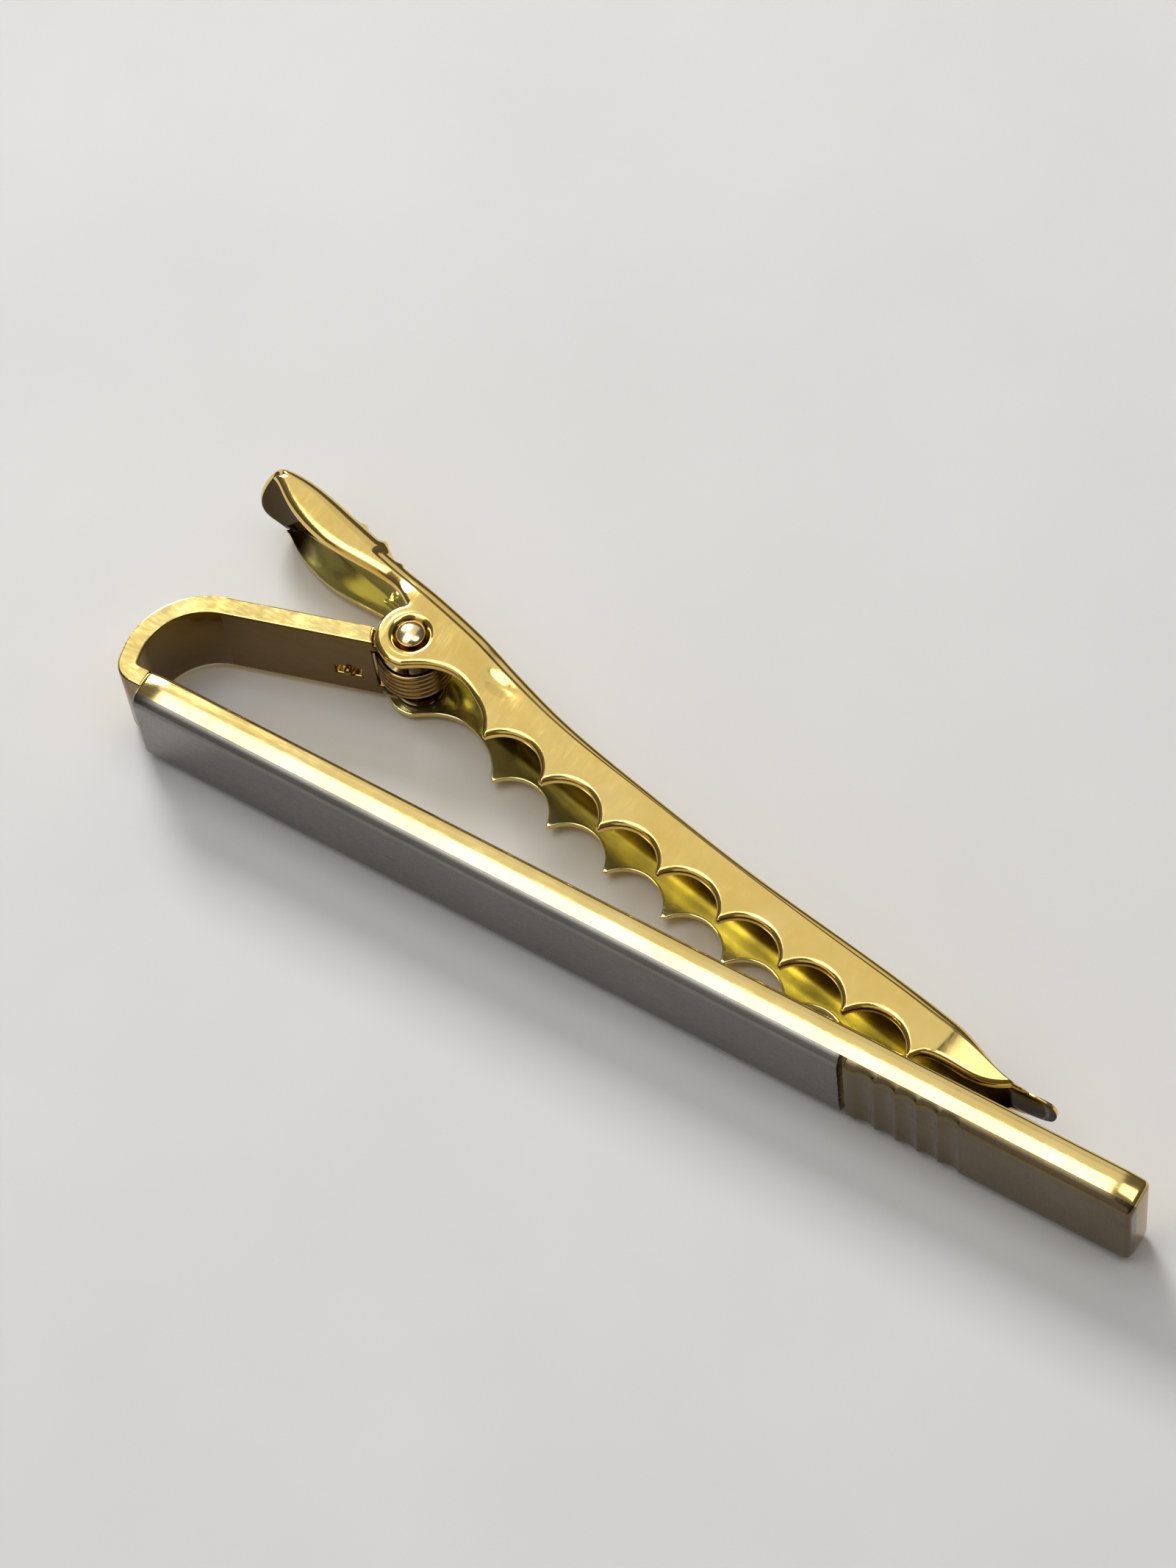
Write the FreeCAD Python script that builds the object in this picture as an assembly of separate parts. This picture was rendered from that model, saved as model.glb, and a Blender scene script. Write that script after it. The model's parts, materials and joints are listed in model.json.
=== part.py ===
import FreeCAD, Part
import math
import os

# Tie clip with a spring jaw: a two-tone bar, a strip arm bent back from its end, and a toothed
# jaw that turns on a riveted pin against a torsion spring.
# Lengths are in millimetres. Construction frame: x along the bar from its hinge end, y from the
# bar's front face to the jaw, z along the pin. At the end all pieces move together, so that the
# origin is the middle of the base of the closed clip.

# Bar
bar_length = 56.0
bar_height = 6.0
bar_thickness = 2.0
bar_side_crown = 0.2
bar_edge_radius = 0.42
bar_end_round_share = 0.45
face_thickness = 0.5
silver_length = 40.4
groove_width = 0.3
flute_count = 5
flute_pitch = 1.15
flute_width = 1.05
flute_depth = 0.16
flute_margin = 1.1

# Arm strip, with radii on its middle line
arm_thickness = 1.0
arm_width = 5.1
foot_run = 0.74
foot_bend_radius = 0.65
foot_bend_angle = 76.0
riser_run = 0.49
arm_bend_radius = 3.7
arm_bend_angle = 87.5
arm_run = 9.7
pin_lift = 0.35
lug_thickness = 0.5
lug_eye_radius = 1.35
slot_offset = 3.4
slot_length = 1.4
slot_height = 0.75

# Jaw, measured from the pin axis in a frame that lies along its teeth
sheet = 0.5
jaw_width = 5.1
ear_width = 5.5
ear_radius = 1.8
ear_dimple_radius = 1.15
ear_dimple_depth = 0.12
lever_length = 12.8
tail_width = 6.0
tail_bulge = 1.1
jaw_length = 40.1
spine_height = 2.95
jaw_bend_radius = 0.4
first_tooth_x = 6.58
tooth_depth = 1.85
tooth_bow = 0.3
tooth_count = 8
tip_reach = 6.46
tooth_flat = 0.2
arch_rise = 1.2
first_arch_rise = 1.47
tongue_width = 2.9
tongue_length = 2.1
ear_step_start = 1.9
ear_step_end = 2.7
neck_step_start = 2.6
neck_step_end = 5.0
tip_taper_length = 2.8
ridge_count = 3
ridge_radius = 0.35
ridge_pitch = 1.475
ridge_first_x = 3.41
ridge_length = 4.2

# Side outline of the jaw: shares of the lever length (behind the pin), of the jaw length (ahead
# of it) or of the tongue length (back from the tip), and of the spine height.
back_lever_shares = ((-1.0, 0.66), (-0.965, 0.86), (-0.90, 1.05), (-0.80, 1.15), (-0.55, 1.12),
                     (-0.08, 1.0))
back_jaw_shares = ((0.0756, 0.87), (0.2095, 0.59), (0.3526, 0.475), (0.5087, 0.425), (0.823, 0.50))
back_tongue_shares = ((-1.81, 0.441), (-1.0, 0.356), (0, 0.542))
lever_edge_shares = ((-0.838, 0.651), (-0.720, 0.481), (-0.600, 0.414), (-0.375, 0.508),
                     (-0.203, 0.536))
# Curved edges between two known points: shares of the way across and of the rise.
first_arch_shares = ((0.21, 0.70), (0.44, 1.0), (0.71, 0.82), (0.88, 0.50))
last_arch_shares = ((0.085, 0.39), (0.254, 0.58), (0.54, 0.74), (0.80, 0.83))
ear_start_angle = 140.0
ear_end_angle = 297.0
rim_share = 0.9

# Pin
pin_radius = 0.6
pin_head_radius = 0.88
pin_head_height = 0.37
pin_head_rim = 0.1

# Spring
wire = 0.45
coil_pitch = 0.92
coil_whole_turns = 2
hook_bend_radius = 0.55
hook_reach = 0.2
leg_seat_index = 4
coil_lift = 0.35

# Fits
side_clearance = 0.05
running_clearance = 0.04
ear_clearance = 0.15
coil_clearance = 0.575
coil_window = 0.2
leg_clearance = 0.1
closed_gap = 0.05
overrun = 2.0
touch = 0.01

V = FreeCAD.Vector
Z_AXIS = V(0, 0, 1)
middle = bar_height / 2
bar_end_radius = bar_edge_radius * bar_end_round_share
ear_inner = ear_width - 2 * sheet
lug_span = ear_inner - 2 * side_clearance
tooth_pitch = (jaw_length - tip_reach - first_tooth_x) / (tooth_count - 1)
tongue_start = jaw_length - tongue_length
tip_taper_start = tongue_start - tip_taper_length
spine_inner = spine_height - sheet
coil_radius = spine_inner - coil_clearance - wire / 2
coil_outer = coil_radius + wire / 2


def polar(radius, degrees):
    angle = math.radians(degrees)
    return V(radius * math.cos(angle), radius * math.sin(angle), 0)


def line(a, b):
    return Part.LineSegment(a, b).toShape()


def arc(a, b, c):
    return Part.Arc(a, b, c).toShape()


def spline(points):
    curve = Part.BSplineCurve()
    curve.interpolate(points)
    return curve


def ease(a, b):
    """A curve from a to b that leaves and arrives along x."""
    half = (a.x + b.x) / 2
    curve = Part.BezierCurve()
    curve.setPoles([a, V(half, a.y, a.z), V(half, b.y, b.z), b])
    return curve.toShape()


def face_of(edges):
    return Part.Face(Part.Wire(Part.__sortEdges__(edges)))


def box(low, high):
    size = high - low
    return Part.makeBox(size.x, size.y, size.z, low)


def disc(radius, low, high, centre):
    """A cylinder along z between two heights."""
    return Part.makeCylinder(radius, high - low, V(centre.x, centre.y, low))


# Bar: one crowned blank, cut into the body and its two front plates
def bar_blank():
    low = bar_side_crown
    high = bar_height - bar_side_crown
    half = bar_thickness / 2
    section = face_of([
        line(V(0, 0, low), V(0, 0, high)),
        arc(V(0, 0, high), V(0, half, bar_height), V(0, bar_thickness, high)),
        line(V(0, bar_thickness, high), V(0, bar_thickness, low)),
        arc(V(0, bar_thickness, low), V(0, half, 0), V(0, 0, low)),
    ])
    blank = section.extrude(V(bar_length, 0, 0))
    long_edges = [e for e in blank.Edges if abs(e.BoundBox.XLength - bar_length) < bar_end_radius]
    blank = blank.makeFillet(bar_edge_radius, long_edges)
    end_edges = [e for e in blank.Edges if e.BoundBox.XLength < bar_end_radius]
    return blank.makeFillet(bar_end_radius, end_edges)


def front_zone(start, end):
    return box(V(start, -overrun, -overrun), V(end, face_thickness, bar_height + overrun))


def flute(x):
    """A shallow upright flute in the front face, a slice of a cylinder."""
    half = flute_width / 2
    radius = (half * half + flute_depth * flute_depth) / (2 * flute_depth)
    return disc(radius, -overrun, bar_height + overrun, V(x, flute_depth - radius, 0))


def bar_pieces():
    blank = bar_blank()
    silver = blank.common(front_zone(-overrun, silver_length))
    gold_start = silver_length + groove_width
    gold = blank.common(front_zone(gold_start, bar_length + overrun))
    for i in range(flute_count):
        gold = gold.cut(flute(gold_start + flute_margin + i * flute_pitch))
    body = blank.cut(front_zone(-overrun, bar_length + overrun))
    return body, silver, gold


# Arm: a strip that follows straight runs and bends
def strip_face(start, heading, steps, thickness):
    """The side view of a bent strip; returns its face, and the end point and heading."""
    left = []
    right = []
    half = thickness / 2
    point = start
    caps = [line(start + polar(half, heading + 90), start - polar(half, heading + 90))]
    for kind, size, turn in steps:
        normal = polar(half, heading + 90)
        first = point
        if kind == "run":
            point = point + polar(size, heading)
            left.append(line(first + normal, point + normal))
            right.append(line(first - normal, point - normal))
            continue
        centre = point + polar(size, heading - 90)
        rays = [polar(1, heading + 90 - turn * share) for share in (0, 0.5, 1)]
        left.append(arc(*[centre + ray * (size + half) for ray in rays]))
        right.append(arc(*[centre + ray * (size - half) for ray in rays]))
        heading = heading - turn
        point = centre + rays[2] * size
    caps.append(line(point + polar(half, heading + 90), point - polar(half, heading + 90)))
    return face_of(left + right + caps), point, heading


foot_heading = 180.0
arm_steps = (
    ("run", foot_run, 0.0),
    ("bend", foot_bend_radius, foot_bend_angle),
    ("run", riser_run, 0.0),
    ("bend", arm_bend_radius, arm_bend_angle),
    ("run", arm_run, 0.0),
)
foot_point = V(0, bar_thickness - arm_thickness / 2, 0)
arm_face, arm_end, arm_heading = strip_face(foot_point, foot_heading, arm_steps, arm_thickness)
pin_point = arm_end + polar(pin_lift, arm_heading + 90)


def arm_point(along, across):
    """A point in the arm's own frame, measured from the pin axis."""
    return pin_point + polar(along, arm_heading) + polar(across, arm_heading + 90)


def arm():
    low = middle - arm_width / 2
    strip = arm_face.copy()
    strip.translate(V(0, 0, low))
    strip = strip.extrude(V(0, 0, arm_width))
    lug_low = middle - lug_span / 2
    lug_high = middle + lug_span / 2
    step_radius = ear_radius + ear_clearance
    strip = strip.cut(disc(step_radius, lug_high, lug_high + overrun, pin_point))
    strip = strip.cut(disc(step_radius, lug_low - overrun, lug_low, pin_point))
    window_low = lug_low + lug_thickness
    window_high = lug_high - lug_thickness
    strip = strip.cut(disc(coil_outer + coil_window, window_low, window_high, pin_point))
    strip = strip.fuse(disc(lug_eye_radius, lug_low, window_low, pin_point))
    strip = strip.fuse(disc(lug_eye_radius, window_high, lug_high, pin_point))
    strip = strip.cut(disc(pin_radius + running_clearance, -overrun, bar_height + overrun, pin_point))
    slot = Part.makeBox(slot_length, 2 * overrun, slot_height,
                        V(-slot_length / 2, -overrun, -slot_height / 2))
    slot.rotate(V(0, 0, 0), Z_AXIS, arm_heading)
    slot.translate(arm_point(-slot_offset, -pin_lift) + V(0, 0, hook_height()))
    return strip.cut(slot).removeSplitter()


# Jaw: side outline and plan outline crossed with each other, then hollowed to sheet
def shared_point(shares):
    length = lever_length if shares[0] < 0 else jaw_length
    return V(shares[0] * length, shares[1] * spine_height, 0)


def offset_points(curve, points, distance):
    """Points moved square to a curve, towards the teeth."""
    moved = []
    for point in points:
        tangent = curve.tangent(curve.parameter(point))[0]
        moved.append(point + V(tangent.y, -tangent.x, 0) * distance)
    return moved


def between(a, b, shares, rise):
    """A point part of the way from a to b, raised by a share."""
    return a + (b - a) * shares[0] + V(0, rise * shares[1], 0)


back_points = [shared_point(s) for s in back_lever_shares + back_jaw_shares]
for along, up in back_tongue_shares:
    back_points.append(V(jaw_length + along * tongue_length, up * spine_height, 0))
back_curve = spline(back_points)


def tooth(i):
    """The middle of a tooth's flat tip; the row of tips is bowed a little."""
    share = i / (tooth_count - 1)
    drop = tooth_depth + 4 * tooth_bow * share * (1 - share)
    return V(first_tooth_x + i * tooth_pitch, -drop, 0)


tip_half = V(tooth_flat / 2, 0, 0)
rest_point = tooth(tooth_count - 1) + tip_half
rest_drop = bar_thickness + closed_gap - pin_point.y
rest_bearing = math.atan2(rest_point.y, rest_point.x)
closed_angle = math.degrees(math.asin(rest_drop / rest_point.Length) - rest_bearing)


def tooth_edges():
    edges = []
    for i in range(tooth_count):
        left = tooth(i) - tip_half
        right = tooth(i) + tip_half
        edges.append(line(left, right))
        if i + 1 < tooth_count:
            after = tooth(i + 1) - tip_half
            top = (right + after) / 2 + V(0, arch_rise, 0)
            edges.append(arc(right, top, after))
    return edges


def side_face():
    rim = offset_points(back_curve, back_points, rim_share * sheet)
    ear_start = polar(ear_radius, ear_start_angle)
    ear_end = polar(ear_radius, ear_end_angle)
    ear_mid = polar(ear_radius, (ear_start_angle + ear_end_angle) / 2)
    lever_edge = rim[:2] + [shared_point(s) for s in lever_edge_shares] + [ear_start]
    first = tooth(0) - tip_half
    last = rest_point
    tongue = [p for p in rim if p.x > tongue_start - sheet]
    rise = V(0, tongue[0].y - last.y, 0)
    level = V(tongue[0].x, last.y, 0)
    first_arch = [between(ear_end, first, s, first_arch_rise) for s in first_arch_shares]
    last_arch = [between(last, level, s, rise.y) for s in last_arch_shares]
    edges = [
        back_curve.toShape(),
        line(back_points[0], rim[0]),
        spline(lever_edge).toShape(),
        arc(ear_start, ear_mid, ear_end),
        spline([ear_end] + first_arch + [first]).toShape(),
        spline([last] + last_arch + [tongue[0]]).toShape(),
        spline(tongue).toShape(),
        line(rim[-1], back_points[-1]),
    ]
    return face_of(edges + tooth_edges())


def plan_edges(inset, tail, tip):
    """Half of the plan outline, from the tail to the tip, drawn in x and z."""
    flare = (tail_width - jaw_width) / 2 / (lever_length - ear_step_end)
    wide = jaw_width / 2 - inset
    ear = ear_width / 2 - inset
    narrow = tongue_width / 2 - inset
    corners = [
        (-ear_step_end, wide), (-ear_step_start, ear),
        (neck_step_start, ear), (neck_step_end, wide),
        (tip_taper_start, wide), (tongue_start, narrow),
    ]
    points = [V(x, 0, z) for x, z in corners]
    edges = [line(V(tail, 0, wide + flare * (-tail - ear_step_end)), points[0])]
    for i in range(0, len(points), 2):
        edges.append(ease(points[i], points[i + 1]))
        after = points[i + 2] if i + 2 < len(points) else V(tip, 0, narrow)
        edges.append(line(points[i + 1], after))
    return edges


def mirrored(edges):
    return edges + [e.mirror(V(0, 0, 0), Z_AXIS) for e in edges]


def far_corner(edges):
    """The tail end of half a plan outline."""
    return edges[0].valueAt(edges[0].FirstParameter)


def plan_face():
    round_tip = tongue_width / 2
    tip = jaw_length - round_tip
    half = plan_edges(0, tail_bulge - lever_length, tip)
    half.append(arc(V(tip, 0, round_tip), V(tip, 0, 0) + V(1, 0, 1).normalize() * round_tip,
                    V(jaw_length, 0, 0)))
    corner = far_corner(half)
    other = V(corner.x, 0, -corner.z)
    tail_arc = arc(corner, V(-lever_length, 0, 0), other)
    return face_of(mirrored(half) + [tail_arc])


def hollow_plan():
    start = -lever_length - overrun
    end = jaw_length + overrun
    half = plan_edges(sheet, start, end)
    corner = far_corner(half)
    half.append(line(V(start, 0, 0), corner))
    half.append(line(V(end, 0, 0), V(end, 0, tongue_width / 2 - sheet)))
    return face_of(mirrored(half))


def hollow_side():
    inner = offset_points(back_curve, back_points, sheet)
    floor = -tooth_depth - tooth_bow - overrun
    first = inner[0]
    out = first + (inner[0] - inner[1]).normalize() * overrun
    end = inner[-1] + V(overrun, 0, 0)
    return face_of([
        spline(inner).toShape(),
        line(first, out),
        line(out, V(out.x, floor, 0)),
        line(V(out.x, floor, 0), V(end.x, floor, 0)),
        line(V(end.x, floor, 0), end),
        line(end, inner[-1]),
    ])


def across(face, width):
    """A side view drawn out to a width about the middle plane."""
    flat = face.copy()
    flat.translate(V(0, 0, -width / 2))
    return flat.extrude(V(0, 0, width))


def upright(face):
    """A plan view drawn out past the teeth and the back."""
    low = tooth_depth + tooth_bow + 2 * overrun
    flat = face.copy()
    flat.translate(V(0, -low, 0))
    return flat.extrude(V(0, low + spine_height + 2 * overrun, 0))


def ridge(i):
    """A grip ridge across the back of the lever."""
    x = -ridge_first_x - i * ridge_pitch
    cut = line(V(x, 0, 0), V(x, 2 * spine_height, 0))
    y = cut.distToShape(back_curve.toShape())[1][0][0].y
    bar = Part.makeCylinder(ridge_radius, ridge_length, V(x, y, -ridge_length / 2))
    ends = [e for e in bar.Edges if e.BoundBox.ZLength < ridge_radius]
    return bar.makeFillet(ridge_radius * rim_share, ends)


def rounded_back(solid):
    """Rounds the two long bends between the spine and the side walls, between tail and tongue."""
    def is_bend(edge):
        point = edge.valueAt((edge.FirstParameter + edge.LastParameter) / 2)
        near = Part.Vertex(V(point.x, point.y, 0)).distToShape(back_curve.toShape())[0]
        return near < touch and abs(point.z) > jaw_width / 2 and point.x < -ear_step_end
    reach = jaw_length + lever_length + overrun
    start = tail_bulge - lever_length
    run = Part.makeBox(tongue_start - start, 2 * reach, 2 * reach, V(start, -reach, -reach))
    ends = solid.cut(run)
    middle_run = solid.common(run)
    bends = [e for e in middle_run.Edges if is_bend(e)]
    return middle_run.makeFillet(jaw_bend_radius, bends).fuse(ends)


def jaw_blank():
    blank = across(side_face(), ear_width + overrun).common(upright(plan_face()))
    hollow = across(hollow_side(), ear_width + overrun).common(upright(hollow_plan()))
    blank = rounded_back(blank).cut(hollow)
    for i in range(ridge_count):
        blank = blank.fuse(ridge(i))
    for side in (-1, 1):
        floor = side * (ear_width / 2 - ear_dimple_depth)
        seat = disc(ear_dimple_radius, min(floor, floor + side * overrun),
                    max(floor, floor + side * overrun), V(0, 0, 0))
        blank = blank.cut(seat)
    hole = disc(pin_radius, -ear_width, ear_width, V(0, 0, 0))
    return blank.cut(hole).removeSplitter()


def jaw():
    shape = jaw_blank()
    shape.rotate(V(0, 0, 0), Z_AXIS, closed_angle)
    shape.translate(pin_point + V(0, 0, middle))
    return shape


# Pin: a rivet with a domed head at each end, seated in the dimples of the ears
def hinge_pin():
    seat = ear_width / 2 - ear_dimple_depth
    rim = seat + pin_head_rim
    top = seat + pin_head_height
    rise = pin_head_height - pin_head_rim
    dome = (pin_head_radius ** 2 + rise ** 2) / (2 * rise)
    lean = math.asin(pin_head_radius / dome) / 2
    edge = V(pin_head_radius, 0, rim)
    crown = V(dome * math.sin(lean), 0, top - dome * (1 - math.cos(lean)))
    half = [
        line(V(0, 0, 0), V(pin_radius, 0, 0)),
        line(V(pin_radius, 0, 0), V(pin_radius, 0, seat)),
        line(V(pin_radius, 0, seat), V(pin_head_radius, 0, seat)),
        line(V(pin_head_radius, 0, seat), edge),
        arc(edge, crown, V(0, 0, top)),
        line(V(0, 0, top), V(0, 0, 0)),
    ]
    upper = face_of(half).revolve(V(0, 0, 0), Z_AXIS, 360)
    pin = upper.fuse(upper.mirror(V(0, 0, 0), Z_AXIS)).removeSplitter()
    pin.translate(pin_point + V(0, 0, middle))
    return pin


# Spring: hook through the arm's slot, open coils on the pin, and a leg along the lever
def leg_seat():
    """Where the free leg ends, clear of the lever's inner face, in the jaw's frame."""
    back = back_points[leg_seat_index]
    return V(back.x, back.y - sheet - leg_clearance - wire / 2, 0)


leg_end = leg_seat()
leg_lean = math.degrees(math.asin(coil_radius / leg_end.Length))
leg_heading = math.degrees(math.atan2(leg_end.y, leg_end.x)) + leg_lean + closed_angle
leg_length = math.sqrt(leg_end.Length ** 2 - coil_radius ** 2)
coil_start = arm_heading - 90
coil_sweep = (leg_heading - 90 - coil_start) % 360 + 360 * coil_whole_turns
coil_rise = coil_pitch * coil_sweep / 360


def hook_height():
    return middle + coil_lift - coil_rise / 2


def arc_from(start, corner, end):
    """The arc that leaves start towards corner and arrives at end from it."""
    chord = (start + end) / 2
    reach = corner - chord
    half = (end - start).Length / 2
    sag = half * math.tan(math.atan2(reach.Length, half) / 2)
    return arc(start, chord + reach.normalize() * sag, end)


def biarc(a, a_dir, b, b_dir):
    """Two arcs from a to b that keep both directions."""
    gap = b - a
    lead = a_dir + b_dir
    square = 2 * a_dir.dot(b_dir) - 2
    middle_term = gap.dot(lead)
    reach = (middle_term - math.sqrt(middle_term ** 2 - square * gap.dot(gap))) / square
    near = a + a_dir * reach
    far = b - b_dir * reach
    joint = (near + far) / 2
    return [arc_from(a, near, joint), arc_from(joint, far, b)]


def coil_node(i, count):
    """A point of the coil and its direction; the ends run level into the straight legs."""
    angle = coil_start + coil_sweep * i / count
    centre = V(pin_point.x, pin_point.y, hook_height() + coil_rise * i / count)
    climb = 0 if i in (0, count) else coil_pitch / (2 * math.pi)
    direction = polar(coil_radius, angle + 90) + V(0, 0, climb)
    return centre + polar(coil_radius, angle), direction.normalize()


def spring_path():
    level = V(0, 0, hook_height())
    top = arm_point(-slot_offset, arm_thickness / 2 - pin_lift + hook_reach) + level
    bend_in = arm_point(-slot_offset, hook_bend_radius - coil_radius) + level
    corner = arm_point(-slot_offset, -coil_radius) + level
    bend_out = arm_point(hook_bend_radius - slot_offset, -coil_radius) + level
    count = math.ceil(coil_sweep / 90)
    nodes = [coil_node(i, count) for i in range(count + 1)]
    edges = [line(top, bend_in), arc_from(bend_in, corner, bend_out), line(bend_out, nodes[0][0])]
    for (a, a_dir), (b, b_dir) in zip(nodes, nodes[1:]):
        edges.extend(biarc(a, a_dir, b, b_dir))
    edges.append(line(nodes[-1][0], nodes[-1][0] + nodes[-1][1] * leg_length))
    return Part.Wire(edges)


def least_gap(path):
    """The smallest clear gap between stretches of wire that are half a turn or more apart."""
    points = path.discretize(Distance=wire / 3)
    step = path.Length / (len(points) - 1)
    skip = int(math.pi * coil_radius / step)
    least = path.Length
    for i, a in enumerate(points):
        for b in points[i + skip:]:
            least = min(least, (a - b).Length)
    return least - wire


def spring():
    path = spring_path()
    start = path.OrderedEdges[0]
    circle = Part.makeCircle(wire / 2, start.valueAt(start.FirstParameter),
                             start.tangentAt(start.FirstParameter))
    tube = path.makePipeShell([Part.Wire(circle)], True, False)
    print("spring: least gap %.3f mm" % least_gap(path))
    return tube


def main():
    os.makedirs("parts", exist_ok=True)
    body, silver, gold = bar_pieces()
    pieces = {
        "bar_body": body,
        "silver_face": silver,
        "gold_end_face": gold,
        "arm": arm(),
        "jaw": jaw(),
        "hinge_pin": hinge_pin(),
        "torsion_spring": spring(),
    }
    bounds = FreeCAD.BoundBox()
    for shape in pieces.values():
        bounds.add(shape.optimalBoundingBox(False, False))
    shift = V(-bounds.Center.x, -bounds.Center.y, -bounds.ZMin)
    for name, shape in pieces.items():
        shape.translate(shift)
        shape.exportStep("parts/%s.step" % name)
        print("%s: solids %d, valid %s" % (name, len(shape.Solids), shape.isValid()))
    print("size %.3f x %.3f x %.3f" % (bounds.XLength, bounds.YLength, bounds.ZLength))
    print("pin axis at %.4f, %.4f" % (pin_point.x + shift.x, pin_point.y + shift.y))
    print("bar from x %.4f, front face at y %.4f" % (shift.x, shift.y))
    print("closed angle %.3f" % closed_angle)


main()
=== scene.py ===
import json
import math

import bpy
import numpy as np
from mathutils import Matrix, Vector, geometry

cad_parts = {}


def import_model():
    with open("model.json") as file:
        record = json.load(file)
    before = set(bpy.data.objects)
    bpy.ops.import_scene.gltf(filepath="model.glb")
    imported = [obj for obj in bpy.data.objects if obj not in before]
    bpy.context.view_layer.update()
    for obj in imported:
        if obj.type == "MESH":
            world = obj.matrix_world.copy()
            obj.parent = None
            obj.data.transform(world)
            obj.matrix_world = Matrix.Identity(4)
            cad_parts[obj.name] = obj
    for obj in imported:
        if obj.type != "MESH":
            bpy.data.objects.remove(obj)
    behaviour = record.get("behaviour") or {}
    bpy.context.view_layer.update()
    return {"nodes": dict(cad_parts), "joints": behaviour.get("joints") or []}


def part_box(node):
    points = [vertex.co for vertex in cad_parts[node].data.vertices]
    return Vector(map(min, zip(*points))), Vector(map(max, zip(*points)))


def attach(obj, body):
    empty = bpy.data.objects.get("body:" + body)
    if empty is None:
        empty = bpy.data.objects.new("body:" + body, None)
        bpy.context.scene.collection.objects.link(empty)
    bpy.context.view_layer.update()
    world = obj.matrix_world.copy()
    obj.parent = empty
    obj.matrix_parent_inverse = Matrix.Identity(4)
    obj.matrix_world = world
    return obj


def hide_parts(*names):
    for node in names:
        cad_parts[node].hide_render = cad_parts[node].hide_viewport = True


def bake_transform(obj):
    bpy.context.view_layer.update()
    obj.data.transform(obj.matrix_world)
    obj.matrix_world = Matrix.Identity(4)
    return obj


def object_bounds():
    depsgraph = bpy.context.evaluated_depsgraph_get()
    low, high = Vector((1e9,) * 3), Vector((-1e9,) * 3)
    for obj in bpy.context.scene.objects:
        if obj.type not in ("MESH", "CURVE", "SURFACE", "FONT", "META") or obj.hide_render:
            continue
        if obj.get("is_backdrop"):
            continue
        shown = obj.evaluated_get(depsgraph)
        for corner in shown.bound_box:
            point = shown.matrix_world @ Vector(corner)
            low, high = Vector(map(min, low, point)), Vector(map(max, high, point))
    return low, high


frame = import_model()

# Points and sizes of the pieces are in millimetres; piece() turns them into metres
MM = 0.001
scene = bpy.context.scene
scene.view_settings.view_transform = "Standard"
PIN = np.array(frame["joints"][0]["pos_m"]) / MM
BAR_LOW, BAR_HIGH = (np.array(c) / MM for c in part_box("bar_body"))
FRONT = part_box("silver_face")[0].y / MM
JAW_TURN = math.radians(-10.472)


# Materials
class Nodes:
    """Adds nodes to a tree and links them by short calls."""

    def __init__(self, tree):
        self.tree = tree
        tree.nodes.clear()

    def add(self, kind, **values):
        node = self.tree.nodes.new(kind)
        for name, value in values.items():
            setattr(node, name, value)
        return node

    def set(self, node, **inputs):
        for name, value in inputs.items():
            socket = node.inputs[name.replace("_", " ")]
            if isinstance(value, bpy.types.NodeSocket):
                self.tree.links.new(value, socket)
            else:
                socket.default_value = value

    def link(self, source, target):
        self.tree.links.new(source, target)


def material(name):
    made = bpy.data.materials.new(name)
    made.use_nodes = True
    return made, Nodes(made.node_tree)


def ramp(n, source, stops):
    """A colour that runs through stops (place, colour)."""
    node = n.add("ShaderNodeValToRGB")
    elements = node.color_ramp.elements
    while len(elements) < len(stops):
        elements.new(0.5)
    for element, (place, colour) in zip(elements, stops):
        element.position = place
        element.color = (*colour, 1.0)
    n.link(source, node.inputs["Fac"])
    return node.outputs["Color"]


def noise(n, coordinates, scale, detail=3.0, rough=0.55, stretch=(1, 1, 1)):
    mapping = n.add("ShaderNodeMapping")
    mapping.inputs["Scale"].default_value = stretch
    n.link(coordinates, mapping.inputs["Vector"])
    node = n.add("ShaderNodeTexNoise")
    n.set(node, Vector=mapping.outputs["Vector"], Scale=scale, Detail=detail, Roughness=rough)
    return node.outputs["Fac"]


def along(source, way):
    """Measures how far a point or a normal goes in a direction."""
    def measure(n):
        node = n.add("ShaderNodeVectorMath", operation="DOT_PRODUCT")
        n.link(n.add("ShaderNodeTexCoord").outputs[source], node.inputs[0])
        node.inputs[1].default_value = way
        return node.outputs["Value"]
    return measure


def far_from(centre, axes):
    """Measures how far a point lies from a centre, counted along some of the axes."""
    def measure(n):
        mapping = n.add("ShaderNodeMapping")
        mapping.inputs["Location"].default_value = tuple(-c * a * MM for c, a in zip(centre, axes))
        mapping.inputs["Scale"].default_value = axes
        n.link(n.add("ShaderNodeTexCoord").outputs["Object"], mapping.inputs["Vector"])
        node = n.add("ShaderNodeVectorMath", operation="LENGTH")
        n.link(mapping.outputs["Vector"], node.inputs[0])
        return node.outputs["Value"]
    return measure


def passed(n, value, low, high):
    """Rises smoothly from 0 to 1 as a value passes from low to high."""
    share = n.add("ShaderNodeMapRange", interpolation_type="SMOOTHSTEP")
    n.set(share, Value=value, From_Min=low, From_Max=high, To_Min=0.0, To_Max=1.0)
    return share.outputs["Result"]


def all_of(*limits):
    """Measures 1 where every value has passed its limits and 0 where one has not."""
    def measure(n):
        shares = [passed(n, value(n), low, high) for value, low, high in limits]
        total = shares[0]
        for share in shares[1:]:
            product = n.add("ShaderNodeMath", operation="MULTIPLY")
            n.link(total, product.inputs[0])
            n.link(share, product.inputs[1])
            total = product.outputs["Value"]
        return total
    return measure


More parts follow.
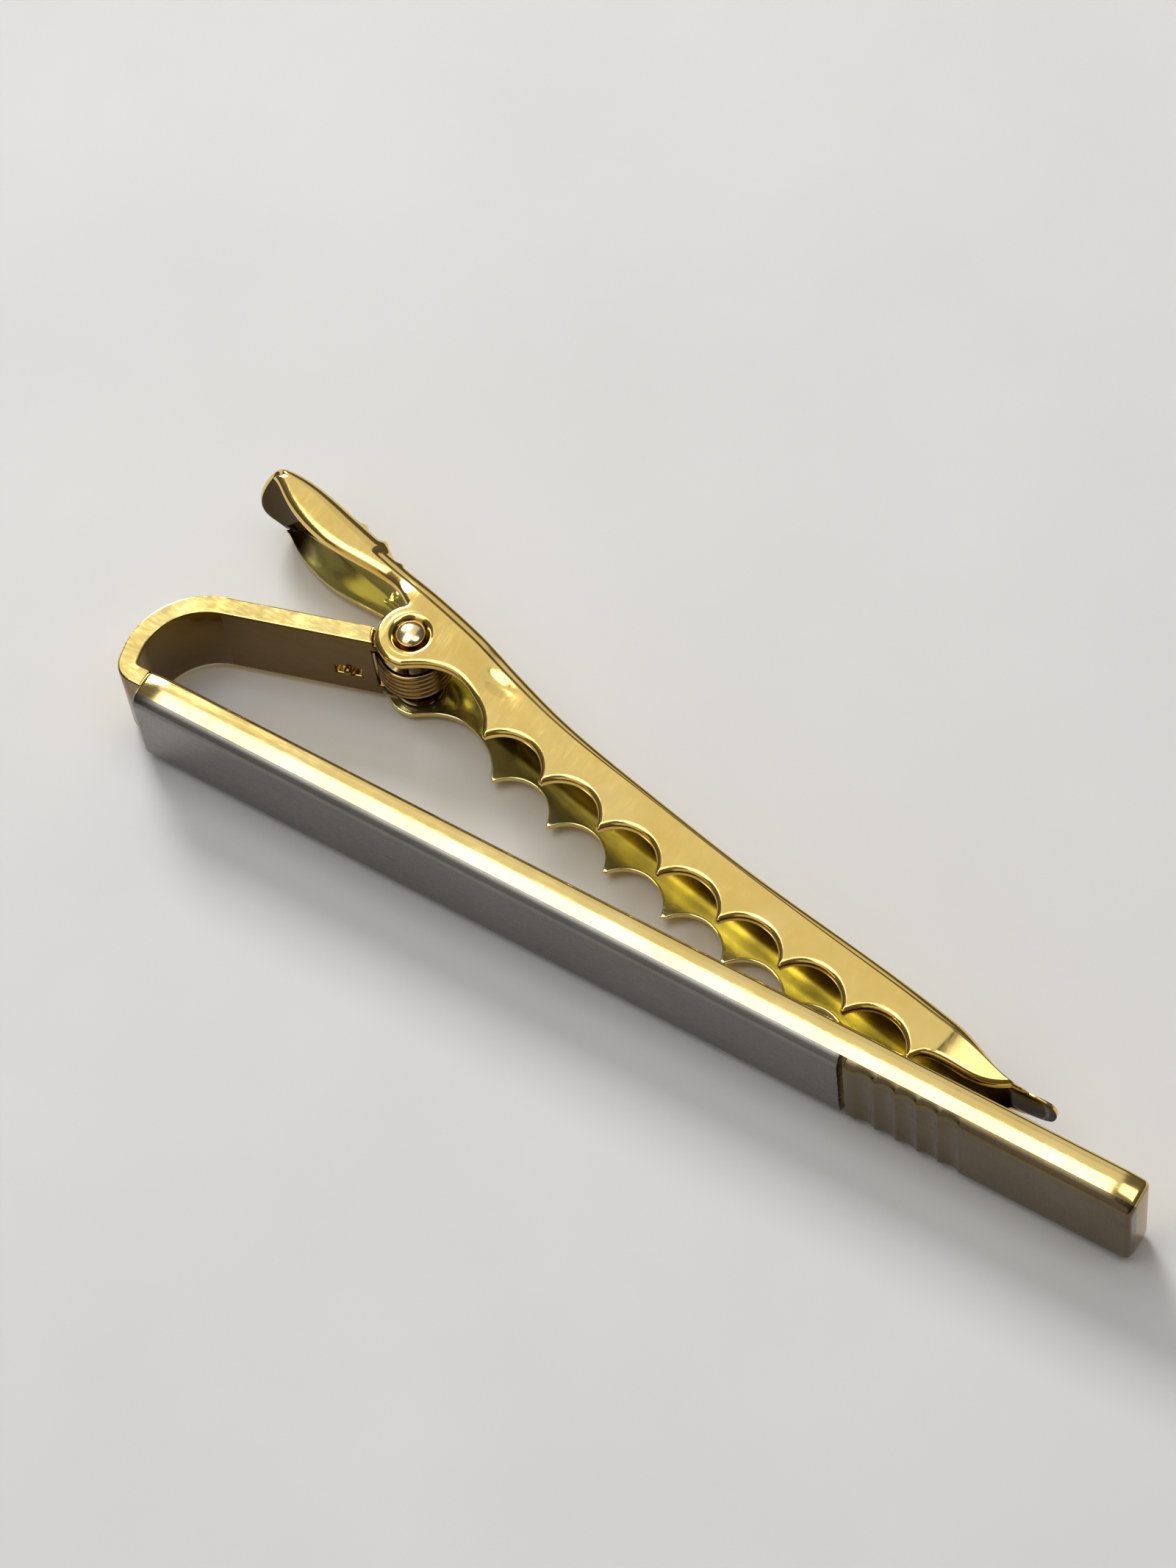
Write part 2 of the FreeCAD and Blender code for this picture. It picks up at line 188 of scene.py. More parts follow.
def paint_shade(n, colour, value, low, high, tint):
    """Paints shade: tones a colour down where a measured value passes from low to high."""
    colour_a, colour_b, colour_out = 6, 7, 2
    mix = n.add("ShaderNodeMix", data_type="RGBA", blend_type="MULTIPLY")
    n.link(passed(n, value, low, high), mix.inputs["Factor"])
    n.link(colour, mix.inputs[colour_a])
    mix.inputs[colour_b].default_value = (*tint, 1.0)
    return mix.outputs[colour_out]


DRIFT_SCALE, SPOT_SCALE = 260.0, 900.0
GRAIN_DEPTH, DENT_DEPTH = 0.01 * MM, 0.06 * MM


def metal(name, stops, rough, spread, grain, stretch, bump, dents=0.0, painted_shade=(), metallic=1.0):
    """A plated metal: its colour drifts between the stops and is darkened by painted shade where
    each mask passes its limits; fine grain marks gloss and height.
    """
    made, n = material(name)
    where = n.add("ShaderNodeTexCoord").outputs["Object"]
    colour = ramp(n, noise(n, where, DRIFT_SCALE, 4.0, 0.6), stops)
    for measure, low, high, tint in painted_shade:
        colour = paint_shade(n, colour, measure(n), low, high, tint)
    lines = noise(n, where, grain, 2.0, 0.6, stretch)
    spots = noise(n, where, SPOT_SCALE, 4.0, 0.65)
    mixed = n.add("ShaderNodeMath", operation="MULTIPLY")
    n.link(lines, mixed.inputs[0])
    n.link(spots, mixed.inputs[1])
    span = n.add("ShaderNodeMapRange")
    n.set(span, Value=mixed.outputs["Value"], From_Min=0.12, From_Max=0.42,
          To_Min=rough - spread, To_Max=rough + spread)
    height = n.add("ShaderNodeBump")
    n.set(height, Strength=bump, Distance=GRAIN_DEPTH, Height=lines)
    normal = height.outputs["Normal"]
    if dents:
        waves = n.add("ShaderNodeBump")
        n.set(waves, Strength=dents, Distance=DENT_DEPTH, Normal=normal,
              Height=noise(n, where, SPOT_SCALE, 1.0, 0.4))
        normal = waves.outputs["Normal"]
    shader = n.add("ShaderNodeBsdfPrincipled")
    n.set(shader, Base_Color=colour, Metallic=metallic, Normal=normal,
          Roughness=span.outputs["Result"])
    n.link(shader.outputs["BSDF"], n.add("ShaderNodeOutputMaterial").inputs["Surface"])
    return made


# Masks for the shade painted into the plating's colour
NEAR_PIN = far_from(PIN, (1, 1, 0))
FROM_MIDDLE = far_from((0.0, 0.0, 3.0), (0, 0, 1))
TO_TIP, TO_TAIL = along("Object", (1, 0, 0)), along("Object", (-1, 0, 0))
UP = along("Object", (0, 0, 1))
ACROSS_JAW = (-math.sin(JAW_TURN), math.cos(JAW_TURN), 0.0)
PIN_ACROSS = np.dot(ACROSS_JAW, PIN)
BEHIND_TEETH = all_of(
    (along("Object", ACROSS_JAW), (PIN_ACROSS - 0.3) * MM, (PIN_ACROSS + 0.1) * MM),
    (TO_TIP, -13.0 * MM, -11.0 * MM),
    (UP, 3.6 * MM, 2.8 * MM))
END_FACE = along("Normal", (1.0, 0.0, 0.0))
ARM_INSIDE = along("Normal", (0.5, -0.87, 0.0))

# Painted shade: the bar's right end face, facing along the bar, is darkened to a brown.
polished_gold = metal(
    "polished_gold", ((0.3, (0.84, 0.62, 0.20)), (0.7, (0.90, 0.70, 0.28))),
    rough=0.14, spread=0.05, grain=9000.0, stretch=(0.1, 1, 1), bump=0.08,
    painted_shade=((END_FACE, 0.75, 0.97, (0.40, 0.35, 0.28)),))
# Painted shade: the arm's inner face, towards the bar, and its end round the pin are darkened.
arm_gold = metal(
    "arm_gold", ((0.3, (0.84, 0.63, 0.19)), (0.7, (0.91, 0.72, 0.28))),
    rough=0.16, spread=0.06, grain=7000.0, stretch=(0.3, 1, 1), bump=0.10, dents=0.45,
    painted_shade=((ARM_INSIDE, 0.1, 0.45, (0.20, 0.155, 0.11)),
          (NEAR_PIN, 2.0 * MM, 1.8 * MM, (0.22, 0.15, 0.09))))
# Painted shadow: a dark ring in the dimple round the rivet.
jaw_gold = metal(
    "jaw_gold",
    ((0.25, (0.80, 0.56, 0.15)), (0.5, (0.86, 0.63, 0.20)), (0.75, (0.90, 0.68, 0.27))),
    rough=0.13, spread=0.05, grain=9000.0, stretch=(1, 0.1, 1), bump=0.08, dents=0.03,
    painted_shade=((NEAR_PIN, 0.98 * MM, 0.90 * MM, (0.20, 0.13, 0.08)),))
# The inside of the jaw's sheet: a paler, yellower copy of the jaw's gold as painted reflected
# light, darkened by painted shade at the tail, behind the teeth and towards the tip.
inner_gold = metal(
    "jaw_inner_gold", ((0.3, (0.86, 0.79, 0.36)), (0.7, (0.91, 0.85, 0.46))),
    rough=0.14, spread=0.05, grain=9000.0, stretch=(1, 1, 0.2), bump=0.08, dents=0.10,
    painted_shade=((TO_TAIL, 25.6 * MM, 26.8 * MM, (0.07, 0.047, 0.024)),
          (BEHIND_TEETH, 0.0, 1.0, (0.22, 0.165, 0.09)),
          (TO_TIP, 19.2 * MM, 20.8 * MM, (0.12, 0.09, 0.05))),
    metallic=0.95)
# Painted shade: the rivet's shank between the heads is darkened.
pin_gold = metal(
    "pin_gold", ((0.3, (0.88, 0.70, 0.34)), (0.7, (0.94, 0.78, 0.46))),
    rough=0.19, spread=0.05, grain=9000.0, stretch=(1, 1, 1), bump=0.05,
    painted_shade=((FROM_MIDDLE, 2.2 * MM, 2.0 * MM, (0.14, 0.095, 0.055)),))
# Painted shade: the wire is coloured a dark brown, far darker than the other golds, for the shade
# it lies in under the ear.
spring_gold = metal(
    "spring_wire", ((0.3, (0.26, 0.165, 0.055)), (0.7, (0.38, 0.25, 0.09))),
    rough=0.16, spread=0.06, grain=7000.0, stretch=(1, 1, 0.2), bump=0.08)
# Painted reflection: the silver front is coloured a dark grey, far darker than silver, for the
# dark reflection it shows.
satin_silver = metal(
    "satin_silver", ((0.3, (0.185, 0.175, 0.157)), (0.7, (0.22, 0.209, 0.187))),
    rough=0.27, spread=0.06, grain=12000.0, stretch=(0.05, 1, 1), bump=0.14)
# Painted reflection: the fluted gold front is coloured a dark brown for the dark reflection it
# shows.
satin_gold = metal(
    "satin_gold", ((0.3, (0.145, 0.107, 0.055)), (0.7, (0.185, 0.139, 0.072))),
    rough=0.24, spread=0.07, grain=12000.0, stretch=(1, 1, 0.05), bump=0.18)


# Mesh helpers
def piece(name, points, faces, look, body, node):
    """A smooth mesh that stands for a node; without a body it is left unattached."""
    mesh = bpy.data.meshes.new(name)
    places = [tuple(p) for p in np.asarray(points, float) * MM]
    mesh.from_pydata(places, [], [tuple(map(int, f)) for f in faces])
    mesh.validate()
    mesh.shade_smooth()
    mesh.materials.append(look)
    obj = bpy.data.objects.new(name, mesh)
    scene.collection.objects.link(obj)
    if body:
        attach(obj, body)
    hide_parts(node)
    return obj


def sharp_edges(obj, degrees):
    """Lets edges steeper than an angle stay crisp."""
    obj.data.set_sharp_from_angle(angle=math.radians(degrees))


def between_rings(rows, count):
    """Faces between closed rings of points that follow each other."""
    faces = []
    for i in range(rows - 1):
        for j in range(count):
            a, b = i * count + j, i * count + (j + 1) % count
            faces.append((a, b, b + count, a + count))
    return faces


def end_caps(rows, count):
    """Flat faces over the first and the last ring."""
    return [tuple(range(count))[::-1], tuple(range((rows - 1) * count, rows * count))]


def through(points, step):
    """Closely spaced points on a smooth curve through the given ones."""
    p = np.array(points, float)
    t = np.concatenate(([0.0], np.cumsum(np.linalg.norm(np.diff(p, axis=0), axis=1))))
    h = np.diff(t)
    n = len(p)
    system = np.zeros((n, n))
    right = np.zeros_like(p)
    system[0, 0] = system[-1, -1] = 1.0
    for i in range(1, n - 1):
        system[i, i - 1:i + 2] = h[i - 1], 2 * (h[i - 1] + h[i]), h[i]
        right[i] = 6 * ((p[i + 1] - p[i]) / h[i] - (p[i] - p[i - 1]) / h[i - 1])
    bend = np.linalg.solve(system, right)
    u = np.linspace(0, t[-1], max(2, int(round(t[-1] / step)) + 1))
    k = np.clip(np.searchsorted(t, u, "right") - 1, 0, n - 2)
    after = (u - t[k])[:, None]
    before = (t[k + 1] - u)[:, None]
    span = h[k][:, None]
    return ((bend[k] * before ** 3 + bend[k + 1] * after ** 3) / (6 * span)
            + (p[k] / span - bend[k] * span / 6) * before
            + (p[k + 1] / span - bend[k + 1] * span / 6) * after)


def circle_arc(centre, radius, start, end, step):
    """Points on an arc between two angles in degrees."""
    count = max(2, int(abs(math.radians(end - start)) * radius / step))
    angles = np.radians(np.linspace(start, end, count + 1))
    return np.array(centre) + radius * np.stack([np.cos(angles), np.sin(angles)], 1)


def arch(a, b, rise, step):
    """An arc from a to b that stands above its chord."""
    half = np.linalg.norm(b - a) / 2
    radius = (half * half + rise * rise) / (2 * rise)
    way = (b - a) / (2 * half)
    up = np.array((-way[1], way[0]))
    centre = (a + b) / 2 + up * (rise - radius)
    open_angle = math.atan2(radius - rise, half)
    count = max(4, int(radius * (math.pi - 2 * open_angle) / step))
    angles = np.linspace(math.pi - open_angle, open_angle, count + 1)
    return centre + radius * (np.cos(angles)[:, None] * way + np.sin(angles)[:, None] * up)


def smooth_step(x, low, high):
    s = np.clip((np.asarray(x, float) - low) / (high - low), 0, 1)
    return s * s * (3 - 2 * s)


def eased(x, places, values):
    """A smooth line through given values, level before the first place and after the last."""
    places, values = np.array(places, float), np.array(values, float)
    slope = np.gradient(values, places)
    slope[0] = slope[-1] = 0.0
    x = np.clip(np.asarray(x, float), places[0], places[-1])
    i = np.clip(np.searchsorted(places, x, side="right") - 1, 0, len(places) - 2)
    span = places[i + 1] - places[i]
    s = (x - places[i]) / span
    rise = s * s * (3 - 2 * s)
    leave, arrive = s * (1 - s) ** 2, s * s * (s - 1)
    curve = span * (slope[i] * leave + slope[i + 1] * arrive)
    return values[i] * (1 - rise) + values[i + 1] * rise + curve


def distance(points, line):
    """How far each point lies from a line of short runs."""
    a, b = line[:-1], line[1:]
    run = b - a
    square = np.maximum((run ** 2).sum(1), 1e-12)
    found = np.empty(len(points))
    batch = 2000
    for i in range(0, len(points), batch):
        p = points[i:i + batch, None, :]
        s = np.clip(((p - a) * run).sum(2) / square, 0, 1)
        found[i:i + batch] = np.sqrt((((p - a) - s[..., None] * run) ** 2).sum(2).min(1))
    return found


# Bar: a rounded section with crowned long sides, drawn along the bar and split into its plates
BAR_HEIGHT, BAR_THICKNESS = 6.0, 2.0
CROWN_RADIUS, RIDGE = 2.6, 1.3  # the long sides' roundness, and how far back they are highest
FRONT_EDGE, BACK_EDGE = 0.62, 0.34  # edge roundings along the bar
END_ROUND, CUT_ROUND = 0.28, 0.06  # roundings at the bar's ends and at the groove
END_DROP, END_REACH, END_POWER = 0.17, 1.5, 2.2  # the slopes near the bar's ends
END_STEPS = (0.06, 0.14, 0.24, 0.36, 0.5, 0.66, 0.84, 1.04, 1.26)
PLATE, SILVER, GROOVE = 0.5, 40.4, 0.3  # the plates' thickness, the silver's length, the gap
FLUTES, FLUTE_PITCH, FLUTE_WIDTH, FLUTE_DEPTH, FLUTE_MARGIN = 5, 1.15, 1.05, 0.14, 1.1
FLUTE_STEP, COARSE_STATIONS, NEXT_STATION = 0.04, 29, 0.02


def bar_section():
    """The section as points (depth from the front, height), round from the middle of the front."""
    centre = BAR_HEIGHT - CROWN_RADIUS

    def quarter(edge, run):
        lift = centre + math.sqrt((CROWN_RADIUS - edge) ** 2 - (run - edge) ** 2)
        lean = math.degrees(math.atan2(lift - centre, edge - run))
        rows = [(0.0, z) for z in np.linspace(BAR_HEIGHT / 2, lift, 7)[:-1]]
        rows += [tuple(p) for p in circle_arc((edge, lift), edge, 180, lean, 0.04)]
        crown = circle_arc((run, centre), CROWN_RADIUS, lean, 90, 0.05)
        return rows + [tuple(p) for p in crown[1:]]

    back = quarter(BACK_EDGE, BAR_THICKNESS - RIDGE)[:-1]
    upper = quarter(FRONT_EDGE, RIDGE) + [(BAR_THICKNESS - y, z) for y, z in reversed(back)]
    lower = [(y, BAR_HEIGHT - z) for y, z in reversed(upper[1:-1])]
    return np.array(upper + lower)


def split_section(section, front):
    """The part of the section before or behind the plate's back, closed by a straight run."""
    kept = []
    for a, b in zip(section, np.roll(section, -1, axis=0)):
        if (a[0] <= PLATE) == front:
            kept.append(a)
        if (a[0] <= PLATE) != (b[0] <= PLATE):
            share = (PLATE - a[0]) / (b[0] - a[0])
            kept.append(a + share * (b - a))
    return np.array(kept)


def bar_stations(start, end, start_round, end_round, inner):
    """Places along a piece, each with how far the section is drawn in, sideways and from above."""
    found = []
    for r, at, way in ((start_round, start, 1), (end_round, end, -1)):
        rows = []
        for a in np.radians(np.linspace(0, 90, 7)):
            drawn_in = r * (1 - math.sin(a))
            rows.append((at + way * r * (1 - math.cos(a)), drawn_in, drawn_in))
        if r > CUT_ROUND:
            rows += [(at + way * (r + s), 0.0, 0.0) for s in END_STEPS]
            near = [max(0.0, 1 - abs(x - at) / END_REACH) for x, _, _ in rows]
            rows = [(x, side, top + END_DROP * share ** END_POWER)
                    for (x, side, top), share in zip(rows, near)]
        found.append(rows if way > 0 else rows[::-1])
    low, high = found[0][-1][0] + NEXT_STATION, found[1][0][0] - NEXT_STATION
    return found[0] + [(x, 0.0, 0.0) for x in inner if low < x < high] + found[1]


def flute_cut(x):
    """How deep the flutes cut the front at a place along the bar."""
    half = FLUTE_WIDTH / 2
    radius = (half * half + FLUTE_DEPTH * FLUTE_DEPTH) / (2 * FLUTE_DEPTH)
    first = SILVER + GROOVE + FLUTE_MARGIN
    cut = 0.0
    for i in range(FLUTES):
        off = abs(x - first - i * FLUTE_PITCH)
        if off < half:
            cut = max(cut, math.sqrt(radius ** 2 - off ** 2) - (radius - FLUTE_DEPTH))
    return cut


def bar_piece(name, node, look, section, stations, fluted):
    middle = np.array((BAR_THICKNESS / 2, BAR_HEIGHT / 2))
    points = []
    for x, side, top in stations:
        ring = middle + (section - middle) * (1 - np.array((side, top)) / middle)
        if fluted:
            deep = PLATE - ring[:, 0]
            ring[:, 0] += np.clip(deep, 0, None) / PLATE * flute_cut(x)
        points += [(BAR_LOW[0] + x, FRONT + y, z) for y, z in ring]
    sizes = len(stations), len(section)
    faces = [f[::-1] for f in between_rings(*sizes) + end_caps(*sizes)]
    sharp_edges(piece(name, points, faces, look, "bar", node), 50)


def make_bar():
    section = bar_section()
    length = BAR_HIGH[0] - BAR_LOW[0]
    gold = SILVER + GROOVE
    first = gold + FLUTE_MARGIN - FLUTE_WIDTH / 2
    last = first + FLUTE_PITCH * FLUTES
    coarse = np.linspace(0, length, COARSE_STATIONS)
    fine = np.concatenate((np.linspace(first, last, int((last - first) / FLUTE_STEP)), coarse))
    front, back = split_section(section, True), split_section(section, False)
    bar_piece("bar_body_skin", "bar_body", polished_gold, back,
              bar_stations(0, length, END_ROUND, END_ROUND, coarse), False)
    bar_piece("silver_front", "silver_face", satin_silver, front,
              bar_stations(0, SILVER, END_ROUND, CUT_ROUND, coarse), False)
    bar_piece("gold_front", "gold_end_face", satin_gold, front,
              bar_stations(gold, length, CUT_ROUND, END_ROUND, np.unique(fine)), True)


make_bar()


# Arm: the solid keeps its shape, with its edges eased
def ease_edges(node, width, look):
    obj = frame["nodes"][node]
    obj.data.materials.clear()
    obj.data.materials.append(look)
    weld = obj.modifiers.new("weld", "WELD")
    weld.merge_threshold = 0.002 * MM
    bevel = obj.modifiers.new("bevel", "BEVEL")
    bevel.width = width * MM
    bevel.segments = 3
    bevel.limit_method = "ANGLE"
    bevel.angle_limit = math.radians(50)
    bevel.harden_normals = False


ease_edges("arm", 0.10, arm_gold)


# Pin: a turned rivet with two domed heads
def make_pin():
    seat, edge, top = 2.63, 2.72, 3.0  # heights from the pin's middle: the head's foot, edge, top
    outer, shaft, around = 0.73, 0.6, 64
    dome = [(outer * math.cos(a), edge + (top - edge) * math.sin(a))
            for a in np.radians(np.linspace(0, 90, 13))]
    upper = [(shaft, 0.0), (shaft, seat - 0.02), (outer - 0.06, seat), (outer - 0.01, seat + 0.03)]
    upper += dome
    profile = [(r, -z) for r, z in reversed(upper[1:])] + upper
    points = []
    for r, z in profile[1:-1]:
        points += [(PIN[0] + r * math.cos(a), PIN[1] + r * math.sin(a), PIN[2] + z)
                   for a in np.linspace(0, 2 * math.pi, around, endpoint=False)]
    rows = len(profile) - 2
    faces = between_rings(rows, around)
    low, high = len(points), len(points) + 1
    points += [(PIN[0], PIN[1], PIN[2] - top), (PIN[0], PIN[1], PIN[2] + top)]
    last = (rows - 1) * around
    for j in range(around):
        faces.append((low, (j + 1) % around, j))
        faces.append((high, last + j, last + (j + 1) % around))
    sharp_edges(piece("rivet", points, faces, pin_gold, "jaw", "hinge_pin"), 60)


make_pin()


# Jaw: one bent sheet, drawn in its own frame with the pin at the origin and x along the teeth
SHEET, WALL_HALF = 0.5, 2.55  # the sheet's thickness, half of the outer width by the teeth
TAIL_END, TAIL_CORNER, TAIL_START = -12.8, -12.352, -11.7
TONGUE, TIP_START, TIP_END, TIP_RADIUS = 38.0, 38.65, 40.1, 1.45
TAIL_HALF, TAIL_BULGE = 2.95, 1.1
TAIL_ROUND = (TAIL_HALF ** 2 + TAIL_BULGE ** 2) / (2 * TAIL_BULGE)
END_BLEND = 1.6  # the length over which the columns bow into the round ends
EAR_RADIUS, EAR_STEP, EAR_OUT, FAN_TOP = 1.8, -2.3, 0.2, 2.6
TEETH, FIRST_TOOTH, LAST_TOOTH = 8, 6.58, TIP_END - 6.46
TOOTH_TIP, TOOTH_LAND, TOOTH_SAG, ARCH_RISE = -1.85, 0.1, 1.2, 1.2
RIM, INNER_RIM = 0.26, 0.06  # roundings of the sheet's outer and inner rims
RIM_ROWS = RIM * (1 - np.cos(np.radians(np.linspace(0, 90, 7))))
EDGE_STEP, GRID_STEP = 0.06, 0.22  # spacing of points along the free edge and in the wall


def jaw_to_frame(points):
    c, s = math.cos(JAW_TURN), math.sin(JAW_TURN)
    x, y, z = np.asarray(points, float).T
    return np.stack([c * x - s * y + PIN[0], s * x + c * y + PIN[1], z + PIN[2]], 1)


BACK = through([(TAIL_END, 1.947), (TAIL_CORNER, 2.537), (-11.52, 3.098), (-10.24, 3.393),
                (-7.04, 3.304), (-1.024, 2.95), (3.032, 2.567), (8.401, 1.741), (14.139, 1.401),
                (20.399, 1.254), (33.002, 1.475), (36.299, 1.301), (TONGUE, 1.05),
                (TIP_END, 1.599)], 0.05)
BACK_SLOPE = np.gradient(BACK[:, 1], BACK[:, 0])


def back_at(x):
    """Height of the back line and its outward direction at a place along the jaw."""
    y = np.interp(x, BACK[:, 0], BACK[:, 1])
    slope = np.interp(x, BACK[:, 0], BACK_SLOPE)
    size = np.sqrt(1 + slope ** 2)
    return y, np.stack([-slope / size, 1 / size], -1)


def half_width(x, y=FAN_TOP):
    """Half of the width between the walls; the step by the ear fans out towards the back."""
    flare_slope, flare_ease, fan_low, fan_more, tip_taper = 0.0446, 0.4, 0.4, 1.3, 1.1
    x = np.asarray(x, float)
    lever = np.clip(EAR_STEP - x, 0, None)
    flare = flare_slope * lever ** 2 / (lever + flare_ease)
    fan = fan_low + fan_more * smooth_step(y, 1.4, 2.25)
    rises = smooth_step(x, EAR_STEP - fan, EAR_STEP + fan)
    ear = EAR_OUT * rises * (1 - smooth_step(x, 2.6, 5.0))
    tip = tip_taper * smooth_step(x, 34.2, 38.8)
    return WALL_HALF + flare + ear - tip


def bend_reach(x):
    """How far from the back line the side wall turns flat."""
    return eased(x, (-12.4, -11.7, -10.9, -10.2, 20.0, 31.0, 35.0, 36.4, 37.3, 38.0, 40.1),
                 (0.34, 0.40, 0.55, 0.60, 0.62, 0.74, 0.78, 0.62, 0.46, 0.34, 0.34))


def bend_rise(x):
    """How far inside the outer width the back turns flat."""
    return eased(x, (-12.4, 20.0, 33.0, 35.0, 36.5, 37.4, 38.4, 40.1),
                 (0.52, 0.54, 0.62, 0.80, 1.10, 1.05, 0.75, 0.72))


def lower_edge():
    """The free edge of a side wall from tail to tip: lever, ear, teeth and tongue."""
    end_depth, ear_from, ear_to, neck_rise = 0.45, 140, 297, 1.47
    rims = []
    for x in (TAIL_END, TAIL_CORNER, TONGUE, TIP_END):
        y, out = back_at(x)
        rims.append(np.array((x, y)) - end_depth * out)
    lever = [(-10.726, 1.92), (-9.216, 1.419), (-7.68, 1.221), (-4.8, 1.499), (-2.598, 1.581)]
    ear = circle_arc((0, 0), EAR_RADIUS, ear_from, ear_to, EDGE_STEP)
    runs = [through([rims[0], rims[1]] + lever + [ear[0]], EDGE_STEP), ear]

    teeth = []
    pitch = (LAST_TOOTH - FIRST_TOOTH) / (TEETH - 1)
    for i in range(TEETH):
        share = i / (TEETH - 1)
        sag = TOOTH_SAG * share * (1 - share)
        teeth.append(np.array((FIRST_TOOTH + i * pitch, TOOTH_TIP - sag)))
    land = np.array((TOOTH_LAND, 0.0))
    start, end = ear[-1], teeth[0] - land
    neck = [(1 - s) * start + s * end + np.array((0, neck_rise * r))
            for s, r in ((0.21, 0.70), (0.44, 1.0), (0.71, 0.82), (0.88, 0.50))]
    runs.append(through([start] + neck + [end], EDGE_STEP))
    for a, b in zip(teeth, teeth[1:]):
        runs.append(arch(a + land, b - land, ARCH_RISE, EDGE_STEP))
    start, end = teeth[-1] + land, rims[2]
    tip = [start + (end - start) * (s, r)
           for s, r in ((0.08, 0.24), (0.20, 0.34), (0.42, 0.44), (0.67, 0.56), (0.88, 0.78))]
    runs.append(through([start] + tip + [end], EDGE_STEP))
    runs.append(through([rims[2], rims[3]], EDGE_STEP))

    line = np.concatenate(runs)
    keep = np.concatenate(([True], np.linalg.norm(np.diff(line, axis=0), axis=1) > 1e-4))
    line = line[keep]
    inside = (line[:, 0] > TAIL_START + 0.01) & (line[:, 0] < TIP_START - 0.01)
    ends = []
    near_end = 200
    for x, part in ((TAIL_START, line[:near_end]), (TIP_START, line[-near_end:])):
        order = np.argsort(part[:, 0])
        ends.append(np.array((x, np.interp(x, part[order, 0], part[order, 1]))))
    return np.concatenate((ends[:1], line[inside], ends[1:]))


def rim_drop(depth, radius):
    """How far a rounded rim lies under the face at a distance from the edge."""
    inside = np.clip(radius - depth, 0, radius)
    return radius - np.sqrt(radius ** 2 - inside ** 2)


def jaw_columns():
    """Places along the jaw, closer together where its shape changes."""
    return np.concatenate((
        TAIL_START + RIM_ROWS, np.linspace(TAIL_START + 0.42, -7.3, 24),
        np.arange(-7.2, -2.75, 0.06), np.arange(-2.7, 5.3, 0.12), np.linspace(5.5, 33.5, 70),
        np.linspace(33.8, TONGUE, 36), np.linspace(TONGUE + 0.1, TIP_START - 0.25, 4),
        TIP_START - RIM_ROWS[::-1]))


def ear_dimple(points):
    """The dimple round the rivet with its low lip, as a height added to the wall's face."""
    lip, lip_radius, lip_width, depth = 0.012, 1.19, 0.08, 0.16
    r = np.linalg.norm(points, axis=1)
    raised = lip * np.exp(-((r - lip_radius) / lip_width) ** 2)
    return raised - depth * (1 - smooth_step(r, 0.80, 1.12))


def lever_roll(x, depth):
    """How far the lever's free edge is rolled inwards."""
    width, radius = 0.6, 1.8
    roll = np.clip(width - depth, 0, None) ** 2 / (2 * radius)
    return roll * (1 - smooth_step(x, -3.6, -2.4))


def wall_dent(points):
    """How deep the shallow dent beside the ear is."""
    depth, middle, spread = 0.10, (5.3, 0.75), (0.9, 0.42)
    return depth * np.exp(-(((points - middle) / spread) ** 2).sum(1))


def ridge_height(x, z):
    """The three grip ridges across the lever's back."""
    height, width, first, pitch = 0.22, 0.22, -3.41, -1.475
    across = 1 - smooth_step(np.abs(z), 2.05, 2.5)
    return sum(height * across * np.exp(-((x - first - pitch * i) / width) ** 2) for i in range(3))


def clear_of_bend(points, gap):
    """Which points of a flat wall lie at least a gap below the line where it starts to bend."""
    y, out = back_at(points[:, 0])
    return (y - points[:, 1]) * out[:, 1] > bend_reach(points[:, 0]) + gap


def wall_net(columns):
    """Points and faces of a side wall, drawn flat; the first points lie on its top line."""
    y, out = back_at(columns)
    top = np.stack([columns, y], 1) - out * bend_reach(columns)[:, None]
    edge = lower_edge()
    way = np.gradient(edge, axis=0)
    way /= np.linalg.norm(way, axis=1)[:, None]
    inward = np.stack([-way[:, 1], way[:, 0]], 1)

    # Rows under the top line, rows along the free edge, then rings round the pin and a grid
    under_top = [top - out * under for under in (0.24, 0.13, 0.05)]
    under_top = np.concatenate([row[distance(row, edge) > 0.12] for row in under_top])
    by_edge = []
    last_row, slack = 0.36, 0.004
    for depth in list(RIM_ROWS[1:]) + [last_row]:
        row = edge + inward * depth
        by_edge.append(row[distance(row, edge) > depth - slack])
    by_edge = np.concatenate(by_edge)
    radii = (0.25, 0.55, 0.75, 0.84, 0.9, 0.95, 1.0, 1.05, 1.1, 1.15, 1.2, 1.25, 1.31, 1.38, 1.47)
    ring_step, ring_turn, grid_from = 0.075, 2.0, 1.58
    spread = [circle_arc((0, 0), r, ring_turn * i, 360 + ring_turn * i, ring_step)[:-1]
              for i, r in enumerate(radii)]
    xs, ys = np.meshgrid(np.arange(TAIL_START, TIP_START, GRID_STEP),
                         np.arange(-2.4, 3.4, GRID_STEP))
    xs = xs + GRID_STEP / 2 * (np.round(ys / GRID_STEP) % 2)
    grid = np.stack([xs.ravel(), ys.ravel()], 1)
    spread = np.concatenate(spread + [grid[np.linalg.norm(grid, axis=1) > grid_from]])

    by_edge = by_edge[clear_of_bend(by_edge, 0.03)]
    spread = spread[clear_of_bend(spread, 0.3) & (distance(spread, edge) > 0.42)]
    border = np.concatenate((top, edge[::-1]))
    every = np.concatenate((border, under_top, by_edge, spread))
    loop = list(range(len(border)))
    found = geometry.delaunay_2d_cdt([Vector(p) for p in every], [], [loop], 1, 1e-7)
    points = np.array([tuple(p) for p in found[0]])
    origin = [ids[0] if ids else -1 for ids in found[3]]
    return points, found[2], origin, edge


